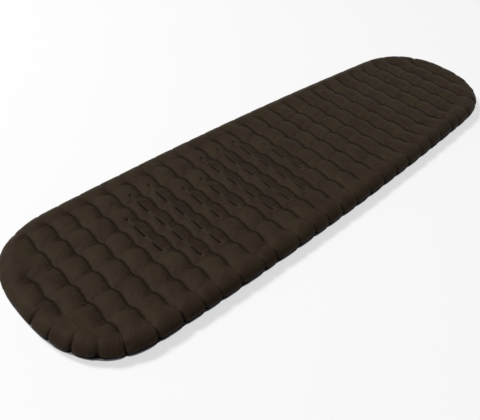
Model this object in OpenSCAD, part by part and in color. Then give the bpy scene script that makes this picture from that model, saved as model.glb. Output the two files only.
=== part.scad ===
// Inflatable sleeping pad: two sheets welded together at the rim, wavy baffles between
// them, short tie strips in the body zones, and a flat two-stage valve in the underside.
// Millimetres, +X from the head end to the foot end, +Z up, origin at the middle of the
// ground face.

/* [Pad] */
// Overall length over the seam flange
pad_length = 1830; // [1700:10:1950]
// Overall width over the seam flange at the widest place
pad_width = 557; // [500:1:640]
// Height of the inflated pad, ground to crest
pad_height = 62; // [56:1:80]
// Height of the rim seam above the ground
seam_height = 26; // [22:1:30]
// Where the pad is widest, measured from the head end
widest_at = 574; // [400:1:800]
// Share of the width that is lost at the taper length past the widest place
taper_share = 0.11; // [0.02:0.01:0.16]
// Distance over which that share is lost
taper_length = 895; // [700:5:1100]
// Length of the rounded corner zone at each end
end_round = 230; // [180:5:280]
// Fullness of the head end, 2 is an ellipse and more is squarer
head_fullness = 2.6; // [2:0.1:3.2]
// Fullness of the foot end
foot_fullness = 2.4; // [2:0.1:3.2]

/* [Sheets] */
// Thickness that stands for the laminated fabric
sheet_t = 1; // [0.8:0.1:1.4]
// Width of the flat welded flange round the rim
flange_width = 7; // [5:0.5:10]
// How far the rim wall leans in from the flange to its shoulder
wall_lean = 6; // [5:0.5:10]
// Distance from the outer edge to the full crest height
rim_reach = 40; // [34:1:48]
// Share of the crest height reached at the shoulder of the rim
shoulder_share = 0.62; // [0.45:0.01:0.75]
// How far the rim dips where a weld line ends
rim_dip = 5; // [2:0.5:8]

/* [Weld lines] */
// Number of weld lines across the pad
line_count = 26; // [26:1:26]
// Distance from the head end to the first weld line
first_line = 68; // [64:1:80]
// Distance from the last weld line to the foot end
last_line = 72; // [58:1:74]
// Length of one wave along a weld line
wave_length = 76.5; // [60:0.5:90]
// Height of the wave to each side of its middle
wave_height = 2.5; // [1.5:0.5:5]
// Sideways place of one wave top, from the centre line towards the back
wave_offset = 46; // [30:1:60]
// Depth of a weld line below the crest of the top sheet
top_line_depth = 14; // [9:0.5:18]
// Depth of a weld line above the ground crest of the bottom sheet
bottom_line_depth = 13; // [10:0.5:14]

/* [Baffles] */
// Thickness of the baffle film
baffle_t = 0.6; // [0.4:0.1:1]
// Width of the turned edge that is welded to the sheet
baffle_tab = 6; // [4:0.5:8]
// Gap left for the weld between a film edge and its sheet
weld_gap = 0.3; // [0.2:0.05:0.4]
// Distance from the end of a weld line to the shoulder of the rim
line_end_gap = 8; // [5:1:14]

/* [Body zones] */
// First channel with a tie row, counted by the weld line before it
first_tie_line = 5; // [4:1:6]
// Number of ties in each row, from the shoulder zone to the hip zone
tie_counts = [2, 4, 4, 2, 2, 4, 4, 4, 2];
// Length of one tie
tie_length = 42; // [30:1:50]
// How far the middle of a tie row lies to the front of the centre line
tie_offset = 8; // [4:1:12]
// Depth of the trench over a tie
tie_depth = 9; // [5:0.5:11]
// Thickness of the tie film
tie_t = 0.6; // [0.4:0.1:1]

/* [Valve] */
// Weld line before the channel that holds the valve
valve_line = 24; // [22:1:24]
// Half length of the flat panel round the valve
valve_panel = 62; // [56:1:70]
// Radius of the bore in the housing
housing_bore = 13; // [12:0.25:15]
// Wall of the housing ring
housing_wall = 3; // [2.5:0.25:3.5]
// How far the housing stands below the panel
housing_drop = 4; // [3.5:0.25:5]
// Width of the collar that holds the housing on its flange
collar_width = 5; // [3.5:0.5:6]
// Thickness of the collar
collar_t = 1.2; // [1:0.1:1.6]
// Radius of the soft weld flange
valve_flange_r = 27; // [24:0.5:28]
// Thickness of the weld flange
valve_flange_t = 1; // [0.8:0.1:1.4]
// Gap between parts that open and close on each other
part_gap = 0.3; // [0.2:0.05:0.35]

/* [Deflation lid] */
// Thickness of the lid plate
lid_t = 1.5; // [1.2:0.1:1.8]
// How far the lid plate overlaps the end of the housing
lid_overlap = 2.5; // [2:0.1:2.8]
// Gap between the lid plug and the bore
plug_gap = 0.7; // [0.6:0.05:0.9]
// Wall of the lid plug
plug_wall = 1.5; // [1.3:0.1:2]
// Length of the lid plug above the plate
plug_length = 5.3; // [5:0.1:6]
// Room left round the plug seal in its groove
groove_room = 0.1; // [0.05:0.01:0.12]
// Radius of the section of the plug seal
plug_seal_r = 0.7; // [0.6:0.05:0.8]
// Radius of the hinge barrels on the housing
lid_barrel_r = 2; // [1.8:0.1:2.2]
// Length of the lid's own hinge barrel
lid_barrel_length = 6; // [4:0.5:8]
// Thickness of each hinge ear
ear_t = 2; // [1.5:0.1:2.5]
// Radius of the lid's hinge pin
lid_pin_r = 0.75; // [0.6:0.05:0.9]
// Running clearance of a hinge pin in its barrel
pin_clearance = 0.05; // [0.02:0.01:0.08]

/* [Inflation port] */
// Radius of the socket for the pump nozzle
port_r = 7.5; // [7:0.1:8]
// Depth of the socket
port_depth = 3.6; // [3:0.1:4]
// Wall of the spout round the socket
spout_wall = 1; // [0.8:0.1:1.2]
// How far the spout stands below the lid plate
spout_drop = 1.8; // [1.6:0.1:2.2]
// Step at the bottom of the socket that stops the nozzle
port_step = 1; // [0.8:0.1:1.4]
// Depth of the air chamber above the socket
chamber_depth = 3; // [2.8:0.1:3.4]
// Thickness of the valve seat
seat_t = 1.2; // [1:0.1:1.5]
// Number of air holes in the seat
vent_count = 4; // [3:1:6]
// Radius of each air hole
vent_r = 1.6; // [1.2:0.1:1.7]
// Radius of the circle of air holes
vent_circle_r = 3.9; // [3.6:0.1:4.2]
// Radius of the stem of the check flap
stem_r = 0.9; // [0.7:0.05:1.1]
// Gap round the stem in the seat
stem_gap = 0.2; // [0.15:0.05:0.3]
// Thickness of the check flap
flap_t = 0.6; // [0.5:0.05:0.8]
// Travel of the check flap
flap_travel = 1.5; // [1:0.1:1.5]
// Radius of the bead that keeps the stem in the seat
bead_r = 1.5; // [1.4:0.05:1.8]
// Length of that bead
bead_length = 0.8; // [0.6:0.1:0.8]

/* [Inflation cap] */
// Thickness of the cap roof
cap_t = 1.4; // [1.1:0.1:1.6]
// Wall of the cap skirt
cap_wall = 1.3; // [1.1:0.1:1.6]
// Gap between the spout and the cap skirt
cap_gap = 0.5; // [0.45:0.05:0.6]
// Thickness of the cap seal
cap_seal_t = 0.25; // [0.2:0.05:0.3]
// Radius of the hinge barrels between the cap and the lid
cap_barrel_r = 1.4; // [1.2:0.05:1.5]
// Length of the cap's own hinge barrel
cap_barrel_length = 4; // [3:0.5:5]
// Radius of the cap's hinge pin
cap_pin_r = 0.6; // [0.5:0.05:0.7]

/* [Hidden] */
$fn = 96;
top_brown = [0.215, 0.180, 0.145];
slate = [0.215, 0.220, 0.235];
film = [0.62, 0.60, 0.56];
valve_black = [0.09, 0.09, 0.10];
valve_grey = [0.30, 0.31, 0.33];
seal_grey = [0.45, 0.46, 0.47];
steel = [0.72, 0.72, 0.74];

half_length = pad_length / 2;
half_width = pad_width / 2;
widest_x = widest_at - half_length;
shoulder = flange_width + wall_lean;
half_wave = wave_length / 2;

top_rise = pad_height - seam_height;
top_weld_z = pad_height - top_line_depth;
bottom_weld_z = bottom_line_depth;
line_x0 = first_line - half_length;
line_pitch = (pad_length - first_line - last_line) / (line_count - 1);
function line_x(k) = line_x0 + (k - 1) * line_pitch;

// Half width of the outline at x, for the outline moved in by d. The straight part is
// a shallow parabola about the widest place, and each end is a superellipse.
function end_curve(u, fullness) = u >= 1 ? 1 : u <= 0 ? 0
    : pow(1 - pow(1 - u, fullness), 1 / fullness);
function half_width_at(x, d) =
    let (body = half_width * (1 - taper_share * pow((x - widest_x) / taper_length, 2)) - d,
         head = end_curve((x + half_length - d) / end_round, head_fullness),
         foot = end_curve((half_length - d - x) / end_round, foot_fullness))
    body * head * foot;

// Sideways stations inside the rim, one at each top and each hollow of the wave
inside_width = half_width - rim_reach;
station_low = ceil((-inside_width + half_wave / 3 - wave_offset) / half_wave);
station_high = floor((inside_width - half_wave / 3 - wave_offset) / half_wave);
stations = [for (i = [station_low:station_high]) wave_offset + i * half_wave];
function station_scale(x) = half_width_at(x, rim_reach) / inside_width;
function wave(y) = wave_height * cos(360 * (y - wave_offset) / wave_length);
function wave_track(x) = [for (s = stations) [s * station_scale(x), wave(s * station_scale(x))]];

// Lengthwise stations as [x, kind, channel]: the rim rings at each end, each weld line,
// and two crest points in a plain channel or three points in a channel with ties.
rim_steps = [0, 2, flange_width, shoulder, (shoulder + rim_reach) / 2, rim_reach];
tie_rows = len(tie_counts);
function has_ties(k) = k >= first_tie_line && k < first_tie_line + tie_rows;
function channel_stations(k) = has_ties(k)
    ? [[line_x(k) + line_pitch / 4, "crest", k], [line_x(k) + line_pitch / 2, "tie", k],
       [line_x(k) + line_pitch * 3 / 4, "crest", k]]
    : [[line_x(k) + line_pitch / 3, "crest", k], [line_x(k) + line_pitch * 2 / 3, "crest", k]];
x_stations = concat(
    [for (s = rim_steps) [s - half_length, "rim", 0]],
    [for (k = [1:line_count]) each concat([[line_x(k), "line", k]],
        k < line_count ? channel_stations(k) : [])],
    [for (i = [len(rim_steps) - 1:-1:0]) [half_length - rim_steps[i], "rim", 0]]);

// Sideways reach of a tie row and the trench depth over it, as a share
function row_half(k) = tie_counts[k - first_tie_line] * half_wave;
function trench(y, k) = abs(y + tie_offset) > row_half(k) ? 0
    : max(0, cos(360 * (y - wave_offset) / wave_length));

valve_x = line_x(valve_line) + line_pitch / 2;
valve_y = 0;
function in_panel(k, y) = k == valve_line && abs(y - valve_y) <= valve_panel;

// Height of a sheet above the seam. Rings 0 to 3 go from the outer edge to the end of
// the rim. The inside face follows the outside face at the sheet's thickness.
ring_out = [0, flange_width, shoulder, rim_reach];
ring_in = [0, flange_width + sheet_t, shoulder + sheet_t, rim_reach];
function ring_heights(rise, inside) = inside
    ? [0, 0, rise * shoulder_share - sheet_t, rise - sheet_t]
    : [sheet_t, sheet_t, rise * shoulder_share, rise];
function rim_height(d, rise, inside) =
    let (r = inside ? ring_in : ring_out, h = ring_heights(rise, inside))
    lookup(d, [for (i = [0:3]) [r[i], h[i]]]);
function line_dip(kind, ring) = kind == "line" ? [0, 0, rim_dip, rim_dip * 1.2][ring] : 0;
function quilt_height(st, y, rise, depth, is_top) =
    st[1] == "rim" ? rise
    : st[1] == "line" ? rise - depth
    : !is_top && in_panel(st[2], y) ? rise - depth
    : st[1] == "tie" ? rise - tie_depth * trench(y, st[2])
    : rise;

// One cross row of points at a lengthwise station
function cross_row(st, rise, depth, is_top, inside) =
    let (x = st[0],
         end_gap = half_length - abs(x),
         rings = inside ? ring_in : ring_out,
         heights = ring_heights(rise, inside),
         way = is_top ? 1 : -1,
         skin = inside ? sheet_t : 0,
         ring_row = function (side, order) [for (i = order)
            let (w = half_width_at(x, rings[i]))
            w > 0
                ? [x, side * w, seam_height + way * (heights[i] - line_dip(st[1], i))]
                : [x, 0, seam_height + way * rim_height(end_gap, rise, inside)]],
         mid_row = [for (s = stations)
            let (y = s * station_scale(x))
            half_width_at(x, rim_reach) > 0
                ? [x + (st[1] == "rim" ? 0 : wave(y)), y,
                   seam_height + way * (quilt_height(st, y, rise, depth, is_top) - skin)]
                : [x, 0, seam_height + way * rim_height(end_gap, rise, inside)]])
    concat(ring_row(-1, [0, 1, 2, 3]), mid_row, ring_row(1, [3, 2, 1, 0]));

// A sheet as one closed shell: outside grid, inside grid and the edge between them
module sheet(rise, depth, is_top) {
    rows = len(x_stations);
    cols = len(stations) + 8;
    points = [for (inside = [false, true]) for (st = x_stations)
        each cross_row(st, rise, depth, is_top, inside)];
    function at(layer, a, b) = (layer * rows + a) * cols + b;
    function tri(a, b, c) = points[a] == points[b] || points[b] == points[c]
        || points[a] == points[c] ? [] : [is_top ? [a, b, c] : [c, b, a]];
    function quad(a, b, c, d) = concat(tri(a, b, c), tri(a, c, d));
    faces = [
        for (a = [0:rows - 2]) for (b = [0:cols - 2])
            each quad(at(0, a, b), at(0, a, b + 1), at(0, a + 1, b + 1), at(0, a + 1, b)),
        for (a = [0:rows - 2]) for (b = [0:cols - 2])
            each quad(at(1, a, b), at(1, a + 1, b), at(1, a + 1, b + 1), at(1, a, b + 1)),
        for (a = [0:rows - 2])
            each quad(at(0, a, 0), at(0, a + 1, 0), at(1, a + 1, 0), at(1, a, 0)),
        for (a = [0:rows - 2])
            each quad(at(0, a, cols - 1), at(1, a, cols - 1),
                      at(1, a + 1, cols - 1), at(0, a + 1, cols - 1))];
    polyhedron(points, faces, convexity = 10);
}

// A film strip that follows the wave across the pad at x0, between two sideways places
module wavy_strip(x0, y_from, y_to, wide, low, high) {
    track = wave_track(x0);
    inner = [for (p = track) if (p[0] > y_from && p[0] < y_to) p[0]];
    ys = concat([y_from], inner, [y_to]);
    side = function (shift, list) [for (y = list) [x0 + lookup(y, track) + shift, y]];
    flipped = [for (i = [len(ys) - 1:-1:0]) ys[i]];
    translate([0, 0, low])
        linear_extrude(high - low)
            polygon(concat(side(wide / 2, ys), side(-wide / 2, flipped)));
}

baffle_low = bottom_weld_z + sheet_t + weld_gap;
baffle_high = top_weld_z - sheet_t - weld_gap;
function line_reach(k) = half_width_at(line_x(k), rim_reach) - line_end_gap;

module top_sheet() {
    color(top_brown) sheet(top_rise, top_line_depth, true);
}

module bottom_sheet() {
    color(slate) difference() {
        sheet(seam_height, bottom_line_depth, false);
        translate([valve_x, valve_y, -1])
            cylinder(h = seam_height, r = housing_r + part_gap);
    }
}

// A baffle is a web with its two edges turned over and welded to the sheets
module baffle(k) {
    reach = line_reach(k);
    color(film) union() {
        wavy_strip(line_x(k), -reach, reach, baffle_t, baffle_low, baffle_high);
        wavy_strip(line_x(k), -reach, reach, baffle_tab, baffle_low, baffle_low + baffle_t);
        wavy_strip(line_x(k), -reach, reach, baffle_tab, baffle_high - baffle_t, baffle_high);
    }
}

// One row of short ties down the middle of a channel
module tie_row(row) {
    k = first_tie_line + row - 1;
    count = tie_counts[row - 1];
    low = tie_depth + sheet_t + weld_gap;
    high = pad_height - tie_depth - sheet_t - weld_gap;
    color(film) for (i = [0:count - 1]) {
        y = -tie_offset + (i - (count - 1) / 2) * wave_length;
        wavy_strip(line_x(k) + line_pitch / 2, y - tie_length / 2, y + tie_length / 2,
                   tie_t, low, high);
    }
}

// Valve heights above the ground, from the panel down to the cap
panel_inside = bottom_weld_z + sheet_t;
housing_r = housing_bore + housing_wall;
housing_low = bottom_weld_z - housing_drop;
collar_low = panel_inside + valve_flange_t;
lid_high = housing_low - part_gap;
lid_low = lid_high - lid_t;
lid_r = housing_bore + lid_overlap;
spout_low = lid_low - spout_drop;
spout_r = port_r + spout_wall;
socket_top = spout_low + port_depth;
seat_low = socket_top + chamber_depth;
seat_high = seat_low + seat_t;
plug_r = housing_bore - plug_gap;
plug_high = lid_high + plug_length;
seal_z = plug_high - 2.8 * plug_seal_r;
seal_ring_r = housing_bore - part_gap - plug_seal_r;
groove_r = seal_ring_r - plug_seal_r - groove_room;
cap_high = lid_low - part_gap;
cap_roof_high = spout_low - cap_seal_t - part_gap / 2;
cap_low = cap_roof_high - cap_t;
cap_bore = spout_r + cap_gap;
cap_r = cap_bore + cap_wall;
// Hinge axes: the lid's lies along +X beside the ring, the cap's along -X on the lid
lid_hinge_y = housing_r + lid_barrel_r + 2 * part_gap;
lid_hinge_z = housing_low + part_gap;
cap_hinge_y = -(cap_r + cap_barrel_r + 2 * part_gap);
cap_hinge_z = lid_low - cap_barrel_r - part_gap;

module at_valve() {
    translate([valve_x, valve_y, 0]) children();
}

module ring(r_out, r_in, low, high) {
    translate([0, 0, low]) difference() {
        cylinder(h = high - low, r = r_out);
        translate([0, 0, -1]) cylinder(h = high - low + 2, r = r_in);
    }
}

// A round bar along X, centred on the valve's middle plane
module cross_bar(y, z, r, length) {
    translate([-length / 2, y, z]) rotate([0, 90, 0]) cylinder(h = length, r = r);
}

module valve_flange() {
    color(film) at_valve()
        ring(valve_flange_r, housing_r + part_gap, panel_inside, collar_low);
}

module valve_housing() {
    ear_from = lid_barrel_length / 2 + part_gap;
    ear_root = housing_bore + housing_wall / 3;
    color(valve_black) at_valve() {
        difference() {
            union() {
                cylinder_span(housing_r, housing_low, collar_low + collar_t);
                cylinder_span(housing_r + collar_width, collar_low, collar_low + collar_t);
                for (side = [-1, 1])
                    translate([side * (ear_from + ear_t / 2), 0, 0]) {
                        cross_bar(lid_hinge_y, lid_hinge_z, lid_barrel_r, ear_t);
                        translate([-ear_t / 2, ear_root, housing_low])
                            cube([ear_t, lid_hinge_y - ear_root,
                                  lid_barrel_r + part_gap]);
                    }
            }
            cylinder_span(housing_bore, housing_low - 1, collar_low + collar_t + 1);
            cross_bar(lid_hinge_y, lid_hinge_z, lid_pin_r, 4 * lid_barrel_length);
        }
    }
}

module cylinder_span(r, low, high) {
    translate([0, 0, low]) cylinder(h = high - low, r = r);
}

module lid_hinge_pin() {
    color(steel) at_valve()
        cross_bar(lid_hinge_y, lid_hinge_z, lid_pin_r,
                  lid_barrel_length + 2 * (part_gap + ear_t));
}

module deflation_lid() {
    knuckle_r = lid_barrel_r - part_gap / 2;
    cap_ear = cap_barrel_length / 2 + part_gap;
    color(valve_grey) at_valve() difference() {
        union() {
            cylinder_span(lid_r, lid_low, lid_high);
            cylinder_span(plug_r, lid_high, plug_high);
            cylinder_span(spout_r, spout_low, lid_low);
            cross_bar(lid_hinge_y, lid_hinge_z, knuckle_r, lid_barrel_length);
            translate([-lid_barrel_length / 2, 0, lid_low])
                cube([lid_barrel_length, lid_hinge_y, lid_t]);
            for (side = [-1, 1])
                translate([side * (cap_ear + ear_t / 2), 0, 0]) {
                    cross_bar(cap_hinge_y, cap_hinge_z, cap_barrel_r, ear_t);
                    translate([-ear_t / 2, cap_hinge_y - cap_barrel_r, cap_hinge_z])
                        cube([ear_t, 2 * cap_barrel_r, lid_low - cap_hinge_z]);
                }
        }
        cylinder_span(port_r, spout_low - 1, socket_top);
        cylinder_span(port_r - port_step, spout_low, seat_low);
        difference() {
            cylinder_span(plug_r - plug_wall, lid_high, plug_high + 1);
            cylinder_span(spout_r, lid_low, seat_high);
        }
        ring(plug_r + plug_wall, groove_r, seal_z - plug_seal_r - groove_room,
             seal_z + plug_seal_r + groove_room);
        cylinder_span(stem_r + stem_gap, seat_low - 1, plug_high + 1);
        for (i = [0:vent_count - 1])
            rotate(360 / vent_count * i) translate([vent_circle_r, 0, 0])
                cylinder_span(vent_r, seat_low - 1, plug_high + 1);
        cross_bar(lid_hinge_y, lid_hinge_z, lid_pin_r + pin_clearance, 4 * lid_barrel_length);
        cross_bar(cap_hinge_y, cap_hinge_z, cap_pin_r, 4 * cap_barrel_length);
    }
}

module plug_seal() {
    color(seal_grey) at_valve() translate([0, 0, seal_z])
        rotate_extrude() translate([seal_ring_r, 0]) circle(r = plug_seal_r, $fn = 48);
}

module check_flap() {
    flap_low = seat_high + part_gap / 2;
    bead_high = seat_low - flap_travel - part_gap / 3;
    color(seal_grey) at_valve() union() {
        cylinder_span(port_r - port_step, flap_low, flap_low + flap_t);
        cylinder_span(stem_r, bead_high - bead_length, flap_low);
        cylinder_span(bead_r, bead_high - bead_length, bead_high);
    }
}

module inflation_cap() {
    knuckle_r = cap_barrel_r - part_gap / 2;
    color(valve_black) at_valve() difference() {
        union() {
            cylinder_span(cap_r, cap_low, cap_high);
            cross_bar(cap_hinge_y, cap_hinge_z, knuckle_r, cap_barrel_length);
            translate([-cap_barrel_length / 2, cap_hinge_y, cap_hinge_z - knuckle_r])
                cube([cap_barrel_length, -cap_hinge_y, cap_t]);
        }
        cylinder_span(cap_bore, cap_roof_high, cap_high + 1);
        cross_bar(cap_hinge_y, cap_hinge_z, cap_pin_r + pin_clearance, 4 * cap_barrel_length);
    }
}

module cap_seal() {
    color(seal_grey) at_valve()
        ring(spout_r + cap_gap / 2, port_r + part_gap, cap_roof_high,
             cap_roof_high + cap_seal_t);
}

module cap_hinge_pin() {
    color(steel) at_valve()
        cross_bar(cap_hinge_y, cap_hinge_z, cap_pin_r,
                  cap_barrel_length + 2 * (part_gap + ear_t));
}

function two_digits(n) = str(n < 10 ? "0" : "", n);
BAFFLES = [for (k = [1:line_count]) str("baffle_", two_digits(k))];
TIES = [for (r = [1:tie_rows]) str("zone_tie_row_", r)];
VALVE = ["valve_flange", "valve_housing", "lid_hinge_pin", "deflation_lid", "plug_seal",
         "check_flap", "inflation_cap", "cap_seal", "cap_hinge_pin"];

top_sheet();
bottom_sheet();
for (k = [1:line_count]) baffle(k);
for (r = [1:tie_rows]) tie_row(r);
valve_flange();
valve_housing();
lid_hinge_pin();
deflation_lid();
plug_seal();
check_flap();
inflation_cap();
cap_seal();
cap_hinge_pin();
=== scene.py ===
import math

import bmesh
import bpy
import numpy as np
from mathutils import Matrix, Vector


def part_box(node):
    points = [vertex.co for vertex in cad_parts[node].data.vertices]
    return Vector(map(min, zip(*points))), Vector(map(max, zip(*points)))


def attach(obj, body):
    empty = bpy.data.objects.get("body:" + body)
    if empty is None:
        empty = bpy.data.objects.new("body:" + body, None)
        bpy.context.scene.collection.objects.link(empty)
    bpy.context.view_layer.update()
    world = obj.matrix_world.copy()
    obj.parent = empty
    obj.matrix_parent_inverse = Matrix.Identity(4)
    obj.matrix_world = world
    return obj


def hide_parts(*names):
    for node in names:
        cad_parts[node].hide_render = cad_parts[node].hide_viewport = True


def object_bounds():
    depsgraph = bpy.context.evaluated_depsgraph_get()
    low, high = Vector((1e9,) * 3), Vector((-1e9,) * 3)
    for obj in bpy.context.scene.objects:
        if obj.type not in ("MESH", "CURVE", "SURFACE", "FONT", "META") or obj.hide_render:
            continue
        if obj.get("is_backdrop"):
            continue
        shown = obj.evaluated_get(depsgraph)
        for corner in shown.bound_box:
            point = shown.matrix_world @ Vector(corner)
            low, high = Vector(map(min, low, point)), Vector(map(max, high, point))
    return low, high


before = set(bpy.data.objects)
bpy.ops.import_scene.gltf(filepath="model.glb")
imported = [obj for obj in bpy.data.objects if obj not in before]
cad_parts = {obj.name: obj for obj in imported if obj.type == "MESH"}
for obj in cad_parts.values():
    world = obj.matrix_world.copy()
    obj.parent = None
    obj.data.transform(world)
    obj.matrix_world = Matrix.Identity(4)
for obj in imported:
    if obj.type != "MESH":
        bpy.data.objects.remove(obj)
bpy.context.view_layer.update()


# Studio: a plain white floor and one soft lamp high above, beyond the back of the head
# end. The surround lights the object weakly, and only the camera and reflections see it
# white.

def new_material(name, colour, roughness):
    """An empty finish: its Principled shader, its node list and its links."""
    finish = bpy.data.materials.new(name)
    finish.use_nodes = True
    shader = finish.node_tree.nodes["Principled BSDF"]
    shader.inputs["Base Color"].default_value = (*colour, 1.0)
    shader.inputs["Roughness"].default_value = roughness
    return finish, shader, finish.node_tree.nodes, finish.node_tree.links


def seen_directly(nodes, links):
    """1 for a camera, glossy or transmission ray and 0 for a diffuse ray."""
    ray = nodes.new("ShaderNodeLightPath")
    total = nodes.new("ShaderNodeMath")
    total.operation = "ADD"
    total.use_clamp = True
    links.new(ray.outputs["Is Camera Ray"], total.inputs[0])
    links.new(ray.outputs["Is Glossy Ray"], total.inputs[1])
    both = nodes.new("ShaderNodeMath")
    both.operation = "ADD"
    both.use_clamp = True
    links.new(total.outputs[0], both.inputs[0])
    links.new(ray.outputs["Is Transmission Ray"], both.inputs[1])
    return both.outputs[0]


floor_half = 12.0
floor_shadow_share = 0.35
floor_mesh = bpy.data.meshes.new("studio_floor")
floor_mesh.from_pydata([(-floor_half, -floor_half, 0), (floor_half, -floor_half, 0),
                        (floor_half, floor_half, 0), (-floor_half, floor_half, 0)],
                       [], [(0, 1, 2, 3)])
floor = bpy.data.objects.new("studio_floor", floor_mesh)
bpy.context.scene.collection.objects.link(floor)
floor_paint, floor_shader, nodes, links = new_material("floor_paint", (0.82, 0.82, 0.82), 0.9)
floor_glow = nodes.new("ShaderNodeEmission")
floor_glow.inputs["Strength"].default_value = 1.0
floor_mix = nodes.new("ShaderNodeMixShader")
glow_share = nodes.new("ShaderNodeMath")
glow_share.operation = "MULTIPLY"
glow_share.inputs[1].default_value = 1.0 - floor_shadow_share
links.new(seen_directly(nodes, links), glow_share.inputs[0])
links.new(glow_share.outputs[0], floor_mix.inputs["Fac"])
links.new(floor_shader.outputs[0], floor_mix.inputs[1])
links.new(floor_glow.outputs[0], floor_mix.inputs[2])
links.new(floor_mix.outputs[0], nodes["Material Output"].inputs["Surface"])
floor_mesh.materials.append(floor_paint)
floor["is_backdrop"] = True

surround_light = 0.18
world = bpy.data.worlds.new("studio_surround")
bpy.context.scene.world = world
world.use_nodes = True
nodes, links = world.node_tree.nodes, world.node_tree.links
surround = nodes["Background"]
surround.inputs["Color"].default_value = (1.0, 1.0, 1.0, 1.0)
surround.inputs["Strength"].default_value = surround_light
white = nodes.new("ShaderNodeBackground")
white.inputs["Strength"].default_value = 1.0
world_mix = nodes.new("ShaderNodeMixShader")
links.new(seen_directly(nodes, links), world_mix.inputs["Fac"])
links.new(surround.outputs[0], world_mix.inputs[1])
links.new(white.outputs[0], world_mix.inputs[2])
links.new(world_mix.outputs[0], nodes["World Output"].inputs["Surface"])


def soft_lamp(name, place, aim, size, power):
    """A square area lamp at a place, turned towards a point."""
    lamp = bpy.data.lights.new(name, "AREA")
    lamp.shape = "SQUARE"
    lamp.size = size
    lamp.energy = power
    holder = bpy.data.objects.new(name, lamp)
    bpy.context.scene.collection.objects.link(holder)
    holder.location = place
    way = np.array(aim) - np.array(place)
    turn = math.atan2(way[1], way[0])
    tilt = math.atan2(math.hypot(way[0], way[1]), -way[2])
    holder.rotation_euler = (tilt, 0.0, turn - math.pi / 2)


soft_lamp("overhead_lamp", (-3.6, 4.0, 8.0), (0.0, 0.0, 0.0), 2.4, 960.0)

camera_data = bpy.data.cameras.new("main_camera")
camera_data.lens = 47.20
camera_data.sensor_width = 36.0
camera_data.clip_start = 0.05
camera = bpy.data.objects.new("main_camera", camera_data)
bpy.context.scene.collection.objects.link(camera)
camera.location = (-1.2318, -1.0143, 1.2410)
camera.rotation_euler = tuple(math.radians(a) for a in (48.327, -2.390, -43.614))
bpy.context.scene.camera = camera
bpy.context.scene.view_settings.view_transform = "Standard"


# Top fabric: dull brown coated nylon, cut to the pad's outline and welded to the wavy
# baffles below it, to the short ties in the body zones and to the bottom fabric at the
# rim. Air swells it into rounded cells between the welds.

top_low, top_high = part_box("top_sheet")
half_length = (top_high.x - top_low.x) / 2
half_width = (top_high.y - top_low.y) / 2
seam_z, crest_z = top_low.z, top_high.z
line_count = 26
line_x = np.array([(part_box(f"baffle_{k:02d}")[0].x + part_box(f"baffle_{k:02d}")[1].x) / 2
                   for k in range(1, line_count + 1)])
pitch = (line_x[-1] - line_x[0]) / (line_count - 1)
widest_x = -0.341
taper_share, taper_length = 0.11, 0.895
end_round = 0.230
head_fullness, foot_fullness = 2.6, 2.4
rim_reach = 0.040
wave_length, wave_height, wave_offset = 0.0765, 0.0032, 0.046
wave_skew = 0.45


def end_share(gap, fullness):
    """Share of the full width at a distance from an end:
    (1 - (1 - gap / end_round) ^ fullness) ^ (1 / fullness)."""
    near = np.clip(gap / end_round, 0.0, 1.0)
    return (1 - (1 - near) ** fullness) ** (1 / fullness)


def cut_half_width(x):
    """Half width of the cut fabric: a parabola about the widest place, times the end
    share at the head and at the foot."""
    body = half_width * (1 - taper_share * ((x - widest_x) / taper_length) ** 2)
    return (body * end_share(half_length + x, head_fullness)
            * end_share(half_length - x, foot_fullness))


def line_wave(y):
    """Lengthwise shift of a weld line at y: a wave whose tops lie nearer the hollow on
    their back side, height * cos(a + skew (1 - cos a)), with
    a = 2 pi (y - offset) / wave length."""
    a = 2 * np.pi * (y - wave_offset) / wave_length
    return wave_height * np.cos(a + wave_skew * (1 - np.cos(a)))


# The outline of the back half from the head end to the foot end, its outward direction
# and its running length, and the curve that lies one rim reach inside it.
edge_points = 6001
edge_x = -half_length * np.cos(np.linspace(0.0, np.pi, edge_points))
edge_xy = np.stack([edge_x, cut_half_width(edge_x)], 1)
along = np.gradient(edge_xy, axis=0)
along /= np.linalg.norm(along, axis=1, keepdims=True)
outward = np.stack([-along[:, 1], along[:, 0]], 1)
edge_step = np.linalg.norm(np.diff(edge_xy, axis=0), axis=1)
edge_run = np.concatenate([[0.0], np.cumsum(edge_step)])
inset_xy = edge_xy - rim_reach * outward
widest = np.argmax(inset_xy[:, 1])

# How far each weld line bends lengthwise where it meets the rim: front, then back. The
# two lines next to each end don't bend.
most_bend = (0.012, 0.004)
rng = np.random.default_rng(7)
end_bend = [np.concatenate([[0, 0, 0], rng.uniform(-most, most, line_count - 4), [0, 0, 0]])
            for most in most_bend]


def quilt_rows(line_steps, tie_steps, tie_lines, end_rows):
    """Lengthwise stations of a quilted sheet as line numbers: whole numbers are weld
    lines, 0 to 1 is the head end zone and 26 to 27 the foot end zone."""
    rows = [np.linspace(0.0, 1.0, end_rows + 1)[:-1]]
    for k in range(1, line_count):
        steps = tie_steps if k in tie_lines else line_steps
        rows.append(k + np.concatenate([steps, [0.5], 1 - steps[:0:-1]]))
    rows.append(np.linspace(line_count, line_count + 1.0, end_rows + 1))
    return np.concatenate(rows)


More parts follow.
